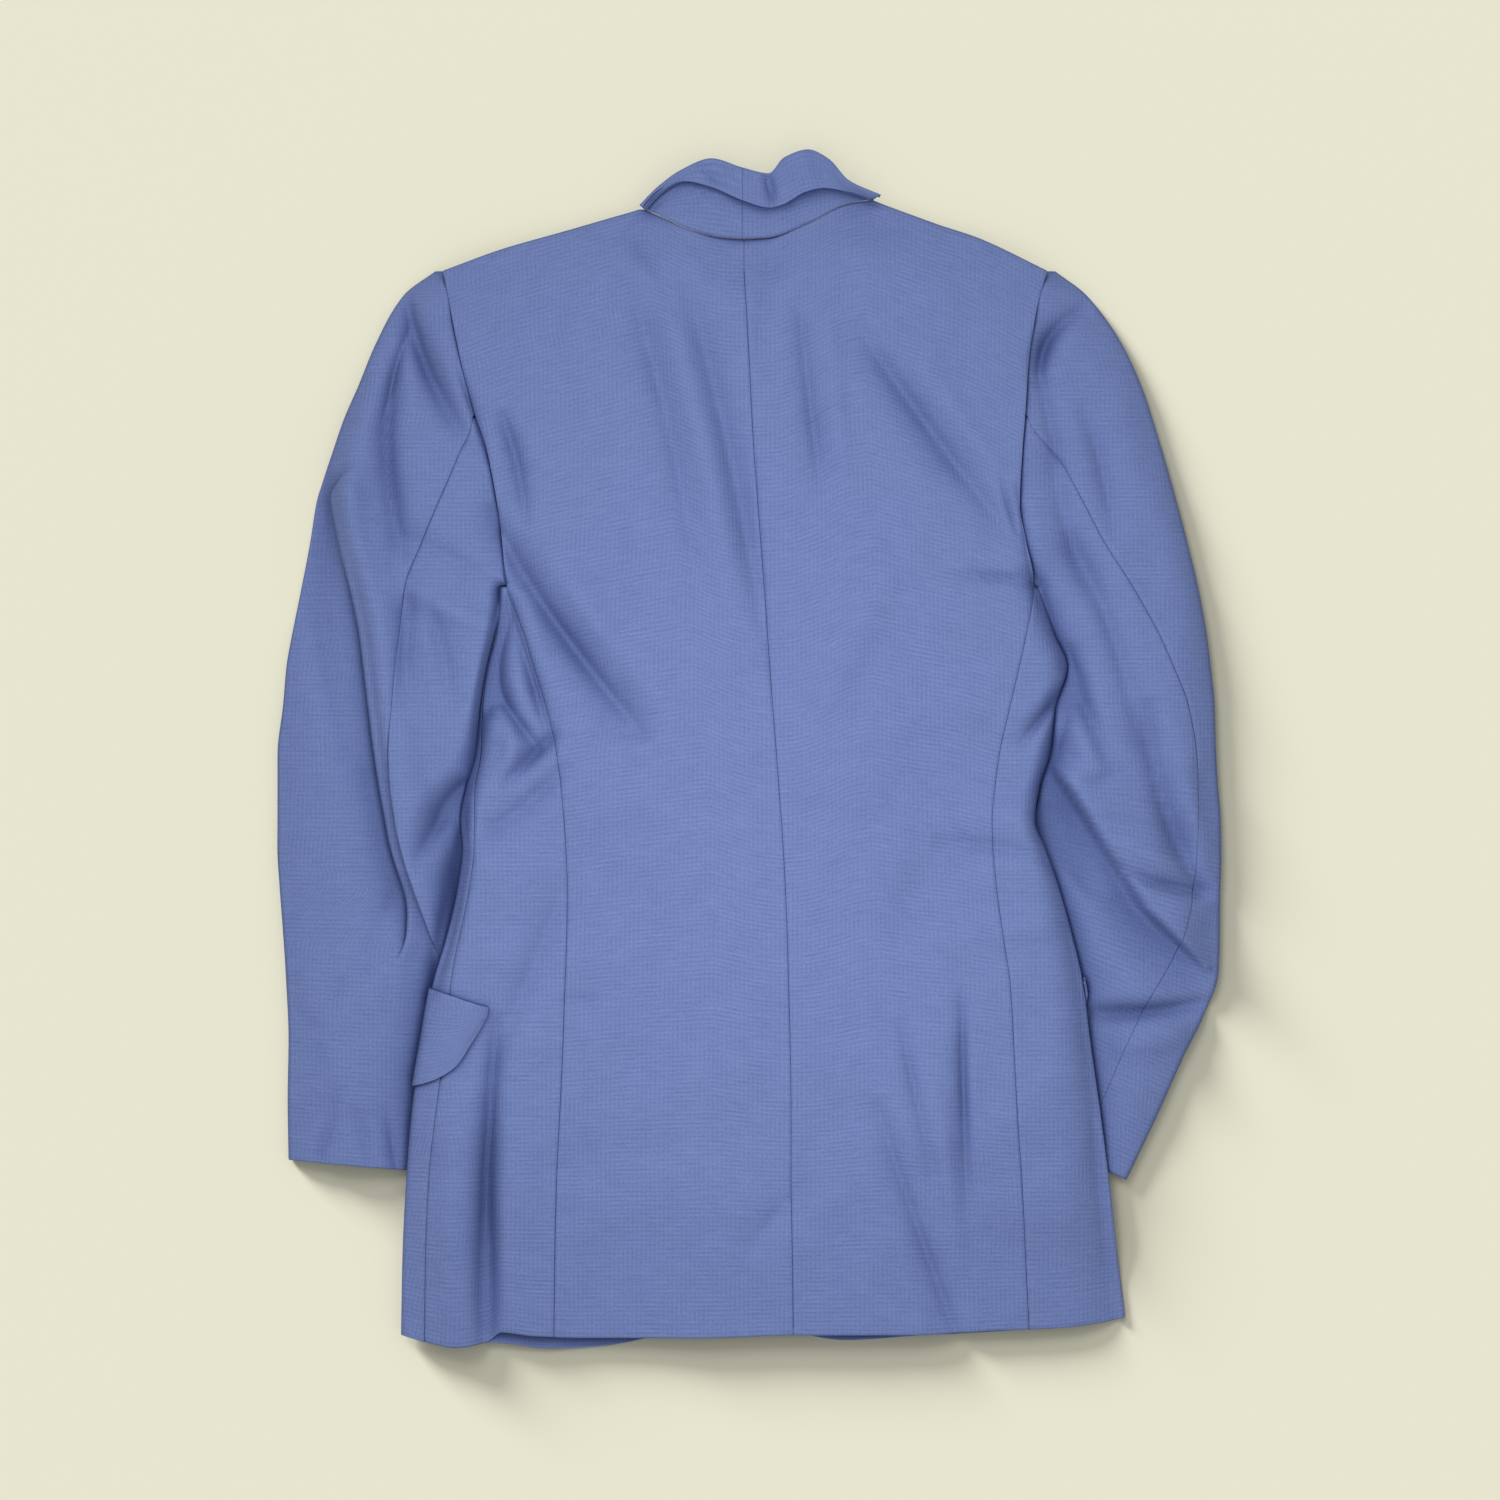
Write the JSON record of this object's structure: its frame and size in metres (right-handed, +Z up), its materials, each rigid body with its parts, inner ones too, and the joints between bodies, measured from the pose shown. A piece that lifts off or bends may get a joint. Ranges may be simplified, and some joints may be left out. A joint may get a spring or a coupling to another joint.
{
  "type": "blazer",
  "caption": "Long tailored single-breasted blazer in plain wool, laid flat on its front with the back up, sleeves beside and partly under the body.",
  "frame": {"origin": "on the surface the blazer lies on, at the middle of its outline", "axes": "+Z up from that surface, +Y towards the collar, +X towards the wearer's right sleeve"},
  "size_m": [0.6328, 0.8034, 0.0203],
  "materials": {
    "cloth": "matt wool hopsack",
    "button": "satin"
  },
  "bodies": {
    "root": {"back_left": "cloth", "back_right": "cloth", "side_panel_left": "cloth", "side_panel_right": "cloth", "front_left": "cloth", "front_right": "cloth", "sleeve_upper_left": "cloth", "sleeve_upper_right": "cloth", "sleeve_under_left": "cloth", "sleeve_under_right": "cloth", "collar_left": "cloth", "collar_right": "cloth", "lapel_left": "cloth", "lapel_right": "cloth", "pocket_flap_left": "cloth", "pocket_flap_right": "cloth", "button_upper": "button", "button_lower": "button"}
  },
  "joints": []
}
